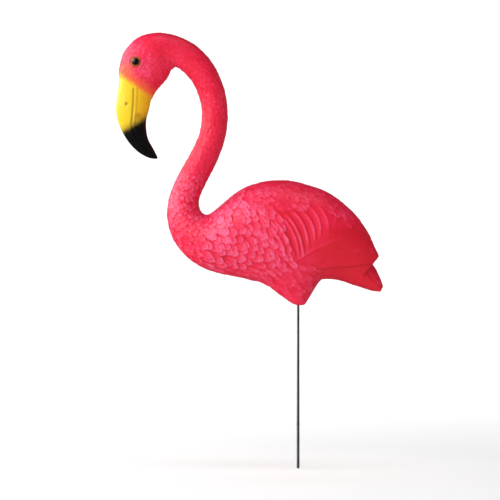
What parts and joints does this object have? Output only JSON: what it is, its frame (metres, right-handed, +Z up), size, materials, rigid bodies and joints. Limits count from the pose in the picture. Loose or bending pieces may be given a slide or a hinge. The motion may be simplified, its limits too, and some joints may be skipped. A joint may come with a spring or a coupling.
{
  "type": "flamingo garden stake",
  "caption": "Moulded plastic flamingo with a curved neck and folded wings on a straight wire stake that is pushed into soil or a pot.",
  "frame": {"origin": "centre of the wire's flat lower end, where the stake goes into the ground", "axes": "+Z up along the wire, the bird faces -X and its right side faces -Y"},
  "size_m": [0.2357, 0.07, 0.3837],
  "materials": {
    "pink_plastic": "satin, with a sprayed yellow bill, black bill tip and painted eyes",
    "steel_wire": "drawn wire, dull"
  },
  "bodies": {
    "root": {"flamingo": "pink_plastic", "stake": "steel_wire"}
  },
  "joints": []
}
